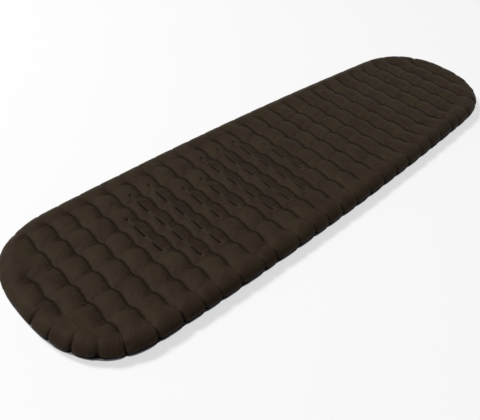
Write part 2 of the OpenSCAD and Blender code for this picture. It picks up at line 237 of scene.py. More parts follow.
def quilt_plan(rows, columns, corner_gaps):
    """Plan of a quilted sheet inside the rim. A row is straight across and shifted by
    the wave, most at a weld line and least midway between two, and the first and last
    rows bend along the inset curve. Beside the rim a row bends to where its weld line
    ends. Returns x, y and the running length at both ends of each row."""
    least_wave, bend_length = 0.2, 0.018
    head_corner = inset_xy[0, 0] + corner_gaps[0]
    foot_corner = inset_xy[-1, 0] - corner_gaps[1]
    knots = np.concatenate([[0.0], np.arange(1, line_count + 1), [line_count + 1.0]])
    base_x = np.interp(rows, knots, np.concatenate([[head_corner], line_x, [foot_corner]]))
    share = np.linspace(-1.0, 1.0, columns)
    ends = []
    for side in (-1, 1):
        y = np.interp(base_x, inset_xy[:, 0], inset_xy[:, 1])
        inside = np.clip(np.minimum(rows, line_count + 1 - rows), 0, 1)
        inside = inside * (least_wave + (1 - least_wave) * np.abs(2 * (rows % 1) - 1))
        ends.append(np.interp(base_x + line_wave(side * y) * inside, inset_xy[:, 0], edge_run))
    front_y, back_y = (np.interp(e, edge_run, inset_xy[:, 1]) for e in ends)
    y = -front_y[:, None] + (front_y + back_y)[:, None] * (share[None] + 1) / 2
    x = base_x[:, None] + line_wave(y) * inside[:, None]
    head_arc = np.interp(np.abs(y[0]), inset_xy[:widest, 1], inset_xy[:widest, 0]) - head_corner
    foot_arc = np.interp(-np.abs(y[-1]), -inset_xy[widest:, 1], inset_xy[widest:, 0]) - foot_corner
    x += np.clip(1 - rows, 0, 1)[:, None] * head_arc[None]
    x += np.clip(rows - line_count, 0, 1)[:, None] * foot_arc[None]
    for column, side in ((0, 0), (-1, 1)):
        ends[side] = ends[side] + np.interp(rows, knots, end_bend[side])
        edge = np.interp(ends[side], edge_run, inset_xy[:, 0])
        edge_y = (-1, 1)[side] * np.interp(ends[side], edge_run, inset_xy[:, 1])
        near = np.exp(-np.abs(y - y[:, column:][:, :1]) / bend_length)
        x += near * (edge - x[:, column])[:, None]
        y += near * (edge_y - y[:, column])[:, None]
    return x, y, ends[0], ends[1]


def rim_loop(x, y, front_run, back_run):
    """The inside grid's border as one closed loop: the grid numbers, the running length
    from the head end at each, and the side, -1 for the front and 1 for the back."""
    rows, columns = x.shape
    number = np.arange(rows * columns).reshape(rows, columns)
    head_run = np.interp(np.abs(y[0]), inset_xy[:widest, 1], edge_run[:widest])
    foot_run = np.interp(-np.abs(y[-1]), -inset_xy[widest:, 1], edge_run[widest:])
    border = np.concatenate([number[0, :-1], number[:-1, -1],
                             number[-1, :0:-1], number[:0:-1, 0]])
    run = np.concatenate([head_run[:-1], back_run[:-1], foot_run[:0:-1], front_run[:0:-1]])
    side = np.sign(np.concatenate([y[0, :-1] + 1e-9, np.ones(rows - 1),
                                   y[-1, :0:-1], -np.ones(rows - 1)]))
    return border, run, side


# The rim puckers at each end of a weld line and at even steps round the two ends: hard
# along the front, softly along the back and hardly at the back corner of the head.
pucker_step = 0.068
line_end_run = np.interp(line_x[1:-1], inset_xy[:, 0], edge_run)
head_count = int(round(2 * line_end_run[0] / pucker_step))
foot_count = int(round(2 * (edge_run[-1] - line_end_run[-1]) / pucker_step))
round_trip = 2 * edge_run[-1]
pucker_place = np.concatenate([
    line_end_run + end_bend[1][2:-2], round_trip - line_end_run - end_bend[0][2:-2],
    np.linspace(-line_end_run[0], line_end_run[0], head_count + 1)[1:-1] % round_trip,
    np.linspace(line_end_run[-1], round_trip - line_end_run[-1], foot_count + 1)[1:-1]])
pucker_place = np.sort(pucker_place)
sharp_reach = 0.003
least_force, back_force, back_corner_force = 0.6, 0.35, 0.4
pucker_force = rng.uniform(least_force, 1.0, len(pucker_place))
pucker_force *= np.where(pucker_place > round_trip / 2, 1.0, back_force)
pucker_force *= np.where(pucker_place < line_end_run[0], back_corner_force, 1.0)


def puckers(run_round):
    """How far the rim is drawn in at a place round it, 0 to 1: a broad part,
    |2q - 1| ^ 4 with q the share of the way from one pucker to the next, and a sharp
    part, exp(-distance / 3 mm), both times the force of the nearest pucker."""
    place = run_round % round_trip
    last = np.searchsorted(pucker_place, place, side="right") - 1
    start = np.where(last < 0, pucker_place[-1] - round_trip, pucker_place[last])
    following = (last + 1) % len(pucker_place)
    stop = np.where(last + 1 < len(pucker_place), pucker_place[following],
                    pucker_place[0] + round_trip)
    q = (place - start) / (stop - start)
    force = np.where(q < 0.5, pucker_force[last], pucker_force[following])
    broad = np.abs(2 * q - 1) ** 4
    sharp = np.exp(-np.minimum(place - start, stop - place) / sharp_reach)
    return broad * force, sharp * force


def rim_rings(flange_gaps, widest_gap, low_turns, turns, low_rise, rise, way):
    """Distance from the edge and height of each ring, from the outer edge in: a flat
    flange, a small quarter ellipse that leaves it outward to the widest place, and a
    large one from there to the crest: gap = widest gap + depth * (1 - cos turn)."""
    flange_half, flange_margin = 0.0004, 0.001
    low, high = np.radians(low_turns), np.radians(turns)
    low_depth = flange_gaps[-1] + flange_margin - widest_gap
    gap = np.concatenate([flange_gaps, widest_gap + low_depth * (1 - np.cos(low)),
                          widest_gap + (rim_reach - widest_gap) * (1 - np.cos(high))])
    height = np.concatenate([np.full(len(flange_gaps), flange_half),
                             low_rise * (1 + np.sin(low)),
                             low_rise + (rise - low_rise) * np.sin(high)])
    return gap, seam_z + way * height


def sheet_mesh(name, x, y, z, drop, ring_gap, ring_z, border, run, side, way,
               draw_in, draw_down):
    """One mesh from the inside grid and the rim rings. Each ring point lies at its
    distance in from the outline, and is drawn in and down where the rim puckers. The
    UV map holds metres along the nearest weld and away from it: y and x on the grid,
    and the run and the gap from the edge on the rim. Returns the piece and the sharp
    part of the relief, which is added once air has filled the sheet."""
    rows, columns = x.shape
    number = np.arange(rows * columns).reshape(rows, columns)
    round_run = np.where(side > 0, run, round_trip - run)
    broad, sharp = puckers(round_run)
    base = np.stack([np.interp(run, edge_run, edge_xy[:, 0]),
                     side * np.interp(run, edge_run, edge_xy[:, 1])], 1)
    out = np.stack([np.interp(run, edge_run, outward[:, 0]),
                    side * np.interp(run, edge_run, outward[:, 1])], 1)
    rings, count = len(ring_gap), len(run)
    gap = ring_gap[:, None] + draw_in[0][:, None] * broad
    ring_xy = base[None] - gap[..., None] * out[None]
    ring_h = ring_z[:, None] - way * draw_down[0][:, None] * broad
    sharp_in = draw_in[1][:, None] * sharp
    ring_pull = np.concatenate([-sharp_in[..., None] * out[None],
                                (-way * draw_down[1][:, None] * sharp)[..., None]], -1)
    grid_pull = np.stack([0 * drop, 0 * drop, -way * drop], -1)
    pull = np.concatenate([grid_pull.reshape(-1, 3), ring_pull.reshape(-1, 3)])
    ring_points = np.concatenate([ring_xy, ring_h[..., None]], -1)
    points = np.concatenate([np.stack([x, y, z], -1).reshape(-1, 3),
                             ring_points.reshape(-1, 3)])
    loops = np.concatenate([rows * columns + np.arange(rings * count).reshape(rings, count),
                            border[None]])
    grid_faces = np.stack([number[:-1, :-1], number[1:, :-1],
                           number[1:, 1:], number[:-1, 1:]], -1)
    after = np.roll(loops, -1, axis=1)
    rim_faces = np.stack([loops[:-1], loops[1:], after[1:], after[:-1]], -1)
    rim_u = np.broadcast_to(round_run, loops.shape)
    rim_v = np.broadcast_to(np.append(ring_gap, rim_reach)[:, None], loops.shape)
    to_next = (np.roll(rim_u, -1, axis=1) - rim_u + round_trip / 2) % round_trip
    next_u = rim_u + to_next - round_trip / 2
    corners = ((rim_u[:-1], rim_v[:-1]), (rim_u[1:], rim_v[1:]),
               (next_u[1:], rim_v[1:]), (next_u[:-1], rim_v[:-1]))
    rim_uv = np.stack([np.stack(corner, -1) for corner in corners], -2)
    grid_uv = np.stack([y.ravel(), x.ravel()], -1)[grid_faces.reshape(-1, 4)]
    faces = np.concatenate([grid_faces.reshape(-1, 4), rim_faces.reshape(-1, 4)])
    corner_uv = np.concatenate([grid_uv, rim_uv.reshape(-1, 4, 2)])
    if way < 0:
        faces, corner_uv = faces[:, ::-1], corner_uv[:, ::-1]
    mesh = bpy.data.meshes.new(name)
    mesh.vertices.add(len(points))
    mesh.vertices.foreach_set("co", points.ravel().astype(np.float32))
    mesh.loops.add(faces.size)
    mesh.loops.foreach_set("vertex_index", faces.ravel().astype(np.int32))
    mesh.polygons.add(len(faces))
    mesh.polygons.foreach_set("loop_start", np.arange(0, faces.size, 4, dtype=np.int32))
    mesh.update(calc_edges=True)
    mesh.polygons.foreach_set("use_smooth", np.ones(len(mesh.polygons), bool))
    cloth_map = mesh.uv_layers.new(name="cloth_map")
    cloth_map.data.foreach_set("uv", corner_uv.ravel().astype(np.float32))
    piece = bpy.data.objects.new(name, mesh)
    bpy.context.scene.collection.objects.link(piece)
    return piece, pull


def smooth(low, high, value):
    """0 below low, 1 above high and a smooth S between them: 3 t^2 - 2 t^3."""
    t = np.clip((value - low) / (high - low), 0, 1)
    return t * t * (3 - 2 * t)


def mark(piece, name, values):
    """Stores one number for each vertex, for the finish to read."""
    layer = piece.data.attributes.new(name, "FLOAT", "POINT")
    layer.data.foreach_set("value", values.astype(np.float32))


air_frames = 20


def inflate(piece, held, growth, most, pull):
    """Air presses the sheet outward as cloth that is held at its welds and is a little
    larger than it was drawn, so that it swells and wrinkles beside them. No vertex
    goes further than the given distance from its drawn place. The pull of the puckers
    comes last."""
    drawn = np.empty(len(piece.data.vertices) * 3, np.float32)
    piece.data.vertices.foreach_get("co", drawn)
    settled = drawn.copy()
    group = piece.vertex_groups.new(name="held")
    group.add(np.flatnonzero(held).tolist(), 1.0, "REPLACE")
    air = piece.modifiers.new("air", "CLOTH")
    air.point_cache.frame_end = air_frames
    cloth = air.settings
    cloth.vertex_group_mass = "held"
    cloth.quality = 3
    cloth.mass = 0.15
    cloth.tension_stiffness = cloth.compression_stiffness = 15.0
    cloth.shear_stiffness = 5.0
    cloth.bending_stiffness = 0.02
    cloth.shrink_min = -growth
    cloth.use_pressure = True
    cloth.uniform_pressure_force = 4.0
    cloth.effector_weights.gravity = 0.0
    for number in range(1, air_frames + 1):
        bpy.context.scene.frame_set(number)
    swollen = piece.evaluated_get(bpy.context.evaluated_depsgraph_get())
    swollen.data.vertices.foreach_get("co", settled)
    piece.modifiers.remove(air)
    piece.vertex_groups.remove(group)
    bpy.context.scene.frame_set(1)
    move = (settled - drawn).reshape(-1, 3)
    length = np.maximum(np.linalg.norm(move, axis=1, keepdims=True), 1e-9)
    move *= np.minimum(1.0, most / length)
    piece.data.vertices.foreach_set("co", drawn + (move + pull).ravel())
    piece.data.update()


top_weld_z = 0.0500
top_crest = crest_z - 0.0008

# Each weld line stops just short of the rim, and the first two well before it.
line_reach = np.interp(line_x, inset_xy[:, 0], inset_xy[:, 1]) - 0.002
line_reach[0] = 0.088
line_reach[1] = 0.222

# The tied channels, by the weld line before each. A slot is a little longer than its tie.
first_tied_line, tie_row_count = 5, 9
tie_boxes = [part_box(f"zone_tie_row_{row}") for row in range(1, tie_row_count + 1)]
tie_lines = {first_tied_line + row: tie_boxes[row] for row in range(tie_row_count)}
tie_length, tie_pitch, slot_length = 0.042, wave_length, 0.047

# Rows of the grid from a weld line to mid-channel, closest together at the line and, in
# a tied channel, at the slots too: millimetres in a channel of 68 mm.
channel_mm = 68
line_steps = np.array([0, 1.4, 2.6, 4.2, 6.4, 9.4, 13.2, 18, 23.2, 28.6]) / channel_mm
tie_steps = np.array([0, 1.4, 2.6, 4.2, 6.4, 9.4, 13.2, 17.5, 22, 26,
                      28.6, 30.0, 30.8, 31.6, 32.6]) / channel_mm
corner_gaps = (0.016, 0.008)
top_rows = quilt_rows(line_steps, tie_steps, tie_lines, 8)
top_columns = 161
x, y, front_run, back_run = quilt_plan(top_rows, top_columns, corner_gaps)


def line_share(rows, x):
    """Share of the way from one weld line to the next: 0.5 up to 1 between the head end
    and the first line, and 0 up to 0.5 between the last line and the foot end."""
    share = np.clip(rows - np.floor(np.clip(rows, 1, line_count - 1e-9)), 0, 1)
    share = np.where(rows < 1, 0.5 + 0.5 * rows, share)
    share = np.where(rows > line_count, 0.5 * (rows - line_count), share)
    return share[:, None] + 0 * x


def nearest_reach(rows, share):
    """How far from the middle the weld line nearest to each grid point runs."""
    before = np.clip(np.floor(rows).astype(int), 1, line_count)
    after = np.clip(before + (rows >= 1), 1, line_count)
    return line_reach[np.where(share < 0.5, before[:, None], after[:, None]) - 1]


def in_channel(line):
    """The rows of the top grid from a weld line up to the next."""
    return (top_rows >= line) & (top_rows < line + 1)


# The cells. A channel rises steeply behind a weld line and falls off more gently to the
# next, over a share of the channel that grows towards the foot. Over a row of ties it
# falls in two steps. Past its end a weld line's valley fades out in the rim.
phase = line_share(top_rows, x)
weld_gap = np.minimum(phase, 1 - phase) * pitch
reach = nearest_reach(top_rows, phase)
before_end = reach - np.abs(y)
at_line = 0.30 * smooth(-0.030, -0.006, before_end) + 0.70 * smooth(-0.002, 0.028, before_end)
rise_share, tied_fall_share = 0.30, 0.52
rise = (1 - (1 - np.clip(phase / rise_share, 0, 1)) ** 2.2) ** 0.8
fall_share = 0.46 + 0.18 * smooth(-0.35, 0.15, x)
fall = 1 - (1 - np.clip((1 - phase) / fall_share, 0, 1)) ** 2.0
tube = np.minimum(rise, fall)
tied_fall = (0.62 * (1 - (1 - np.clip((1 - phase) / tied_fall_share, 0, 1)) ** 1.8)
             + 0.38 * smooth(0.50, 0.66, 1 - phase))
row_fade_length = 0.016
tied_row = np.zeros_like(x)
for line, (low, high) in tie_lines.items():
    channel = in_channel(line)
    row_half, middle = (high.y - low.y) / 2, (high.y + low.y) / 2
    tied_row[channel] = smooth(-row_fade_length, row_fade_length,
                               row_half - np.abs(y[channel] - middle))
tube += tied_row * (np.minimum(rise, tied_fall) - tube)
z = top_crest - (top_crest - top_weld_z) * at_line * (1 - tube)

# A crease crosses each channel just behind the tops of the waves: a wide hollow with a
# fine fold in it, deepest beside the next line and at the head, and never as deep as the
# lines, which have a crease of their own.
crease_place = 0.27
hollow_depth, hollow_half = 0.0047, 0.013
fold_depth, fold_half = 0.0006, 0.002
weld_crease_depth, weld_crease_half = 0.0022, 0.0012
from_crease = y - wave_offset - crease_place * wave_length + wave_length / 2
from_crease = from_crease % wave_length - wave_length / 2
crossing = (hollow_depth / (1 + (from_crease / hollow_half) ** 2)
            + fold_depth * np.exp(-np.abs(from_crease) / fold_half))
crossing *= (0.45 + 0.55 * smooth(0.45, 0.9, phase)) * smooth(0.0, 0.3, 2 * weld_gap / pitch)
crossing *= (1 - 0.75 * smooth(-0.5, 0.3, x)) * (1 - 0.7 * tied_row * smooth(0.4, 0.6, phase))
drop = (crossing * smooth(-0.01, 0.03, before_end)
        + weld_crease_depth * at_line * np.exp(-weld_gap / weld_crease_half))

# The short ties pull a row of slots, joined by a shallow groove, into the channels of
# the body zones, with a dimple beyond the end of each row. A slot narrows towards its
# ends, and nothing is pulled down onto the ties. Kept for the finish: darker weld lines
# with painted shade before each line and past each slot, painted shade in the slots and
# dimples, and a painted sheen on the strip between the slots.
slot_half_width, slot_narrowing, slot_skew = 0.0042, 0.0016, 0.0006
slot_depth, dimple_depth = 0.0090, 0.0050
groove_depth, groove_half = 0.0018, 0.0040
tie_hollow, tie_room = 0.0010, 0.0006
dimple_gap, dimple_stretch = 0.037, 0.6
strip_gap, strip_shift = 0.022, 0.012
# Darker right at each weld line, and painted shade over the slope that falls to each line.
dark_weld_and_shade = at_line * np.maximum(1 - smooth(0.0006, 0.0030, weld_gap),
                                 0.35 * smooth(0.74, 1.0, phase))
slot_and_fold_shade, painted_strip_sheen = np.zeros_like(z), np.zeros_like(z)
tied = np.zeros_like(z, bool)
for line, (low, high) in tie_lines.items():
    channel = in_channel(line)
    row_half, middle = (high.y - low.y) / 2, (high.y + low.y) / 2
    off = (phase[channel] - 0.5) * pitch
    across = y[channel]
    count = int(round(((high.y - low.y) - tie_length) / tie_pitch)) + 1
    nearest = np.clip(np.round((across - middle) / tie_pitch + (count - 1) / 2), 0, count - 1)
    from_tie = across - middle - (nearest - (count - 1) / 2) * tie_pitch
    taper = (slot_half_width
             - slot_narrowing * smooth(0.3, 1.0, np.abs(from_tie) / (slot_length / 2))
             - slot_skew * np.sign(from_tie))
    slot = smooth(-0.0012, 0.0012, slot_length / 2 - np.abs(from_tie))
    row_fade = tied_row[channel]
    walls = 1 - smooth(taper - 0.0003, taper + 0.0006, np.abs(off))
    slope = 1 - smooth(0.000, 0.018, np.abs(off))
    z[channel] -= tie_hollow * slope * row_fade
    # Painted shade on the fall from the slot to the next weld line.
    dark_weld_and_shade[channel] = np.maximum(dark_weld_and_shade[channel],
                                    0.30 * row_fade * smooth(0.001, 0.010, off))
    dot = np.hypot((across - (high.y + dimple_gap)) * dimple_stretch, off)
    dimple = 1 - smooth(0.0015, 0.0050, dot)
    drop[channel] *= 1 - 0.8 * (1 - smooth(0.004, 0.012, np.abs(off))) * row_fade
    drop[channel] += (slot_depth * walls * slot + dimple_depth * dimple
                      + groove_depth * np.exp(-(off / groove_half) ** 2)
                      * row_fade * (1 - slot))
    room = z[channel] - (high.z + tie_room)
    drop[channel] = np.where(np.abs(off) < 0.008, np.minimum(drop[channel], room),
                             drop[channel])
    # Painted shade in the slot and in the dimple beyond the row.
    slot_and_fold_shade[channel] = np.maximum(walls * slot, 1 - smooth(0.002, 0.004, dot))
    # A painted sheen on the strip of fabric that joins the slots.
    strip_reach = row_half + strip_gap - np.abs(across - middle - strip_shift)
    painted_strip_sheen[channel] = ((1 - smooth(0.0004, 0.0022, np.abs(off + 0.001))) * (1 - slot)
                           * smooth(-0.004, 0.004, strip_reach))
    tied[channel] = (np.abs(off) < 0.0062) & (row_fade > 0.5)

# The rim's puckers run on a little way into the cells.
for edge, round_run in ((y[:, :1], round_trip - front_run), (y[:, -1:], back_run)):
    broad, sharp = puckers(round_run)
    z -= 0.0006 * broad[:, None] * np.exp(-np.abs(y - edge) / 0.014)
    drop += 0.0012 * sharp[:, None] * np.exp(-np.abs(y - edge) / 0.010)

# The rim: four rings of flat flange and the wall above it. The wall is drawn in most
# beside the flange and down most at the crest, first by the broad part of the puckers
# and then by the sharp part.
border, run, side = rim_loop(x, y, front_run, back_run)
flange_gaps = np.array([0.002, 0.004, 0.006, 0.0075])
ring_gap, ring_z = rim_rings(flange_gaps, -0.0015, np.arange(-80, 0, 20),
                             np.arange(0, 85, 9), 0.007, top_crest - seam_z, 1)
wall_share = np.clip((ring_z - seam_z) / (top_crest - seam_z), 0, 1)
on_wall = wall_share > 0.005
on_wall[:len(flange_gaps)] = False
draw_in = (np.where(on_wall, 0.001 + 0.004 * (1 - wall_share), 0.001),
           np.where(on_wall, 0.012 * (1 - wall_share) ** 0.8, 0.006))
draw_down = (np.where(on_wall, 0.0034 * wall_share ** 3, 0.0),
             np.where(on_wall, 0.0012 * wall_share ** 0.5, 0.0))
top_fabric, pull = sheet_mesh("top_fabric", x, y, z, drop, ring_gap, ring_z,
                              border, run, side, 1, draw_in, draw_down)
broad, sharp = puckers(np.where(side > 0, run, round_trip - run))
below_crest = on_wall * (1 - smooth(0.8, 1.0, wall_share))
# Painted shade in the sharp pucker folds down the rim wall.
painted_fold_shade = np.clip(2.2 * below_crest[:, None] * sharp - 0.5, 0, 1)
rim_zero = 0 * painted_fold_shade.ravel()
rim_creased = 0.2 + 0.8 * broad * (on_wall * (1 - wall_share ** 2))[:, None]
beside_crease = smooth(0.2, 0.7, phase) * np.exp(-np.abs(from_crease - 0.004) / 0.010)
creased = np.maximum(np.exp(-weld_gap / 0.007), beside_crease)
# Marks for the finish: darker welds, painted shade in the slots, dimples and folds, and a painted
# sheen on the strip.
mark(top_fabric, "dark_weld_and_shade", np.concatenate([dark_weld_and_shade.ravel(), rim_zero]))
mark(top_fabric, "slot_and_fold_shade", np.concatenate([slot_and_fold_shade.ravel(), painted_fold_shade.ravel()]))
mark(top_fabric, "painted_strip_sheen", np.concatenate([painted_strip_sheen.ravel(), rim_zero]))
mark(top_fabric, "creased", np.concatenate([creased.ravel(), rim_creased.ravel()]))
welded = (weld_gap < 0.0002) & (at_line > 0.5) | tied
held = np.concatenate([welded.ravel(), np.repeat(~on_wall, len(run))])
inflate(top_fabric, held, 0.012, 0.0025, pull)


def effect_group(name):
    """A new shader node group that turns a Place into a Height."""
    group = bpy.data.node_groups.new(name, "ShaderNodeTree")
    group.interface.new_socket("Place", in_out="INPUT", socket_type="NodeSocketVector")
    group.interface.new_socket("Height", in_out="OUTPUT", socket_type="NodeSocketFloat")
    return group, group.nodes.new("NodeGroupInput"), group.nodes.new("NodeGroupOutput")


def number_node(nodes, links, operation, first, second):
    """One math node; each input is a socket or a plain number."""
    node = nodes.new("ShaderNodeMath")
    node.operation = operation
    for slot, value in enumerate((first, second)):
        if isinstance(value, (int, float)):
            node.inputs[slot].default_value = value
        else:
            links.new(value, node.inputs[slot])
    return node.outputs[0]


# Puckers: fine creases that run away from a weld. Noise is stretched along the second
# UV direction, so it changes quickly along the weld and slowly away from it.
pucker_effect, group_in, group_out = effect_group("weld_puckers")
nodes, links = pucker_effect.nodes, pucker_effect.links
stretch = nodes.new("ShaderNodeMapping")
stretch.inputs["Scale"].default_value = (210.0, 26.0, 1.0)
crease_noise = nodes.new("ShaderNodeTexNoise")
crease_noise.inputs["Scale"].default_value = 1.0
crease_noise.inputs["Detail"].default_value = 2.5
patch_noise = nodes.new("ShaderNodeTexNoise")
patch_noise.inputs["Scale"].default_value = 18.0
patch_noise.inputs["Detail"].default_value = 1.0
links.new(group_in.outputs["Place"], stretch.inputs["Vector"])
links.new(stretch.outputs["Vector"], crease_noise.inputs["Vector"])
links.new(group_in.outputs["Place"], patch_noise.inputs["Vector"])
patch = number_node(nodes, links, "MULTIPLY", patch_noise.outputs["Fac"], 1.6)
links.new(number_node(nodes, links, "MULTIPLY", crease_noise.outputs["Fac"], patch),
          group_out.inputs["Height"])

# Weave: two crossed sets of threads, the higher one on top.
weave_effect, group_in, group_out = effect_group("plain_weave")
nodes, links = weave_effect.nodes, weave_effect.links
threads = []
for direction in ("X", "Y"):
    thread = nodes.new("ShaderNodeTexWave")
    thread.bands_direction = direction
    thread.inputs["Scale"].default_value = 420.0
    links.new(group_in.outputs["Place"], thread.inputs["Vector"])
    threads.append(thread.outputs["Fac"])
links.new(number_node(nodes, links, "MAXIMUM", *threads), group_out.inputs["Height"])


def fabric_material(name, colour, deep, roughness, painted_sheen_tone, marks):
    """Coated nylon: weave and puckers as bump, deeper where the fabric is creased, faint
    blotches of colour, a painted sheen that pales the colour at a low angle, and the tones
    of the marks, which are pairs of an attribute and a tone. Depths are in metres."""
    specular, painted_sheen_share = 0.03, 0.8
    least_pucker, crease_pucker, weave_depth = 0.0010, 0.0042, 0.00006
    finish, shader, nodes, links = new_material(name, colour, roughness)
    shader.inputs["Specular IOR Level"].default_value = specular
    place = nodes.new("ShaderNodeTexCoord")
    cloth_map = nodes.new("ShaderNodeUVMap")
    cloth_map.uv_map = "cloth_map"
    blotch = nodes.new("ShaderNodeTexNoise")
    blotch.inputs["Scale"].default_value = 16.0
    blotch.inputs["Detail"].default_value = 5.0
    links.new(place.outputs["Object"], blotch.inputs["Vector"])
    tint = nodes.new("ShaderNodeMix")
    tint.data_type = "RGBA"
    tint.inputs["A"].default_value = (*deep, 1.0)
    tint.inputs["B"].default_value = (*colour, 1.0)
    spread = number_node(nodes, links, "MULTIPLY", blotch.outputs["Fac"], 3.0)
    links.new(number_node(nodes, links, "SUBTRACT", spread, 1.0), tint.inputs["Factor"])
    paint = tint.outputs["Result"]
    for attribute, tone in marks:
        share = nodes.new("ShaderNodeAttribute")
        share.attribute_name = attribute
        marked = nodes.new("ShaderNodeMix")
        marked.data_type = "RGBA"
        links.new(share.outputs["Fac"], marked.inputs["Factor"])
        links.new(paint, marked.inputs["A"])
        marked.inputs["B"].default_value = (*tone, 1.0)
        paint = marked.outputs["Result"]
    # Painted sheen: the colour turns paler as the surface turns away from the view.
    facing = nodes.new("ShaderNodeLayerWeight")
    facing.inputs["Blend"].default_value = 0.1
    squared = number_node(nodes, links, "POWER", facing.outputs["Facing"], 2.0)
    painted_sheen = nodes.new("ShaderNodeMix")
    painted_sheen.data_type = "RGBA"
    links.new(number_node(nodes, links, "MULTIPLY", squared, painted_sheen_share),
              painted_sheen.inputs["Factor"])
    links.new(paint, painted_sheen.inputs["A"])
    painted_sheen.inputs["B"].default_value = (*painted_sheen_tone, 1.0)
    links.new(painted_sheen.outputs["Result"], shader.inputs["Base Color"])
    creased = nodes.new("ShaderNodeAttribute")
    creased.attribute_name = "creased"
    extra = number_node(nodes, links, "MULTIPLY", creased.outputs["Fac"], crease_pucker)
    pucker_depth = number_node(nodes, links, "ADD", extra, least_pucker)
    heights = []
    for effect, depth in ((pucker_effect, pucker_depth), (weave_effect, weave_depth)):
        node = nodes.new("ShaderNodeGroup")
        node.node_tree = effect
        links.new(cloth_map.outputs["UV"], node.inputs["Place"])
        heights.append(number_node(nodes, links, "MULTIPLY", node.outputs["Height"], depth))
    bump = nodes.new("ShaderNodeBump")
    bump.inputs["Distance"].default_value = 1.0
    links.new(number_node(nodes, links, "ADD", *heights), bump.inputs["Height"])
    links.new(bump.outputs["Normal"], shader.inputs["Normal"])
    return finish


# The mark tones paint shade in the slots, the folds and before the welds, and a sheen on the
# strip. The low-angle tone is a painted sheen.
top_finish = fabric_material(
    "top_nylon", colour=(0.0320, 0.0228, 0.0128), deep=(0.0250, 0.0160, 0.0108),
    roughness=0.50, painted_sheen_tone=(0.080, 0.073, 0.065),
    marks=(("dark_weld_and_shade", (0.010, 0.0058, 0.0036)), ("painted_strip_sheen", (0.046, 0.039, 0.031)),
           ("slot_and_fold_shade", (0.0085, 0.0042, 0.0026))))
top_fabric.data.materials.append(top_finish)
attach(top_fabric, "pad")
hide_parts("top_sheet")


# Bottom fabric: matt slate-grey nylon, welded to the lower edges of the same baffles.
# Its cells press flat on the ground, and the channel with the valve stays flat at the
# weld plane, with a round hole for the valve's housing.

bottom_weld_z = 0.013
weld_half = 0.0012
valve_low, valve_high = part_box("valve_flange")
valve_x = (valve_low.x + valve_high.x) / 2
valve_y = (valve_low.y + valve_high.y) / 2
valve_hole_r = 0.0163
valve_line = 24
plain_steps = np.array([0, 2, 5, 9.5, 15, 21, 27.5]) / channel_mm
panel_steps = np.array([0, 2, 5, 9.5, 13.7, 17.7, 21.8, 25.9, 29.9]) / channel_mm
bottom_columns = 93
hole_cells = 4
bottom_rows = quilt_rows(plain_steps, panel_steps, {valve_line}, 6)
x, y, front_run, back_run = quilt_plan(bottom_rows, bottom_columns, corner_gaps)
phase = line_share(bottom_rows, x)
reach = nearest_reach(bottom_rows, phase)

# Each cell is a circular arc between two welds, with a pinch at the tops of the wave. The
# arc would reach a little below the ground, and is pressed flat there with a soft edge.
ground_gap = 0.0003
press, press_edge = 0.0022, 0.0012
pinch = 0.0022
off = np.abs(phase - 0.5) * pitch
half = pitch / 2 - weld_half
sag = bottom_weld_z + press
arc_r = (half ** 2 + sag ** 2) / (2 * sag)
arc = sag - (np.sqrt(arc_r ** 2 - np.minimum(off, half) ** 2) - arc_r + sag)
weld_share = smooth(-0.004, 0.012, reach - np.abs(y))
cell_angle = 2 * np.pi * (y - wave_offset) / wave_length
cusp = ((1 + np.cos(cell_angle)) / 2) ** 3
off_weld = smooth(0.0, 0.25, 1 - np.abs(2 * phase - 1))
z = arc * weld_share + pinch * cusp * off_weld * weld_share - press
z = ground_gap + 0.5 * (z + np.sqrt(z ** 2 + press_edge ** 2)) - 0.0002
in_panel = (bottom_rows >= valve_line) & (bottom_rows <= valve_line + 1)
panel = in_panel[:, None] * (1 - smooth(0.050, 0.070, np.abs(y - valve_y)))
z = z * (1 - panel) + bottom_weld_z * panel
for edge, round_run in ((y[:, :1], round_trip - front_run), (y[:, -1:], back_run)):
    broad, sharp = puckers(round_run)
    z += (0.0020 * broad + 0.0020 * sharp)[:, None] * np.exp(-np.abs(y - edge) / 0.012)

# The grid bends round the hole: squares of cells about the valve become circles.
middle_row = int(np.argmin(np.abs(bottom_rows - valve_line - 0.5)))
row_step = (np.arange(len(bottom_rows)) - middle_row)[:, None] / hole_cells
column_step = (np.arange(bottom_columns) - bottom_columns // 2)[None] / hole_cells
square = np.maximum(np.abs(row_step), np.abs(column_step))
length = np.maximum(np.hypot(row_step, column_step), 1e-9)
keep = smooth(1.0, 2.0, square)
x = keep * x + (1 - keep) * (valve_x + valve_hole_r * square * row_step / length)
y = keep * y + (1 - keep) * (valve_y + valve_hole_r * square * column_step / length)

# The rim: its flange reaches past the top's, so that grey shows where the top puckers.
border, run, side = rim_loop(x, y, front_run, back_run)
flange_gaps = np.array([0.0, 0.002, 0.004, 0.0055])
ring_gap, ring_z = rim_rings(flange_gaps, 0.002, np.arange(-60, 0, 30),
                             np.arange(0, 85, 10), 0.006, seam_z - 0.0012, -1)
wall_share = np.clip((seam_z - ring_z) / seam_z, 0, 1)
on_wall = wall_share > 0.02
on_wall[:len(flange_gaps)] = False
draw_in = (np.where(on_wall, 0.002 + 0.003 * (1 - wall_share), 0.0),
           np.where(on_wall, 0.0015 + 0.004 * (1 - wall_share) ** 0.5, 0.0))
draw_down = (np.where(on_wall, 0.0020 * wall_share, 0.0),
             np.where(on_wall, 0.0020 * wall_share, 0.0))
bottom_fabric, pull = sheet_mesh("bottom_fabric", x, y, z, 0 * z, ring_gap, ring_z,
                                 border, run, side, -1, draw_in, draw_down)
rim_zero = np.zeros(ring_gap.size * run.size)
weld_gap = np.minimum(phase, 1 - phase) * pitch
mark(bottom_fabric, "dark_weld_and_shade", np.concatenate([
    (weld_share * (1 - smooth(0.0006, 0.0030, weld_gap))).ravel(), rim_zero]))
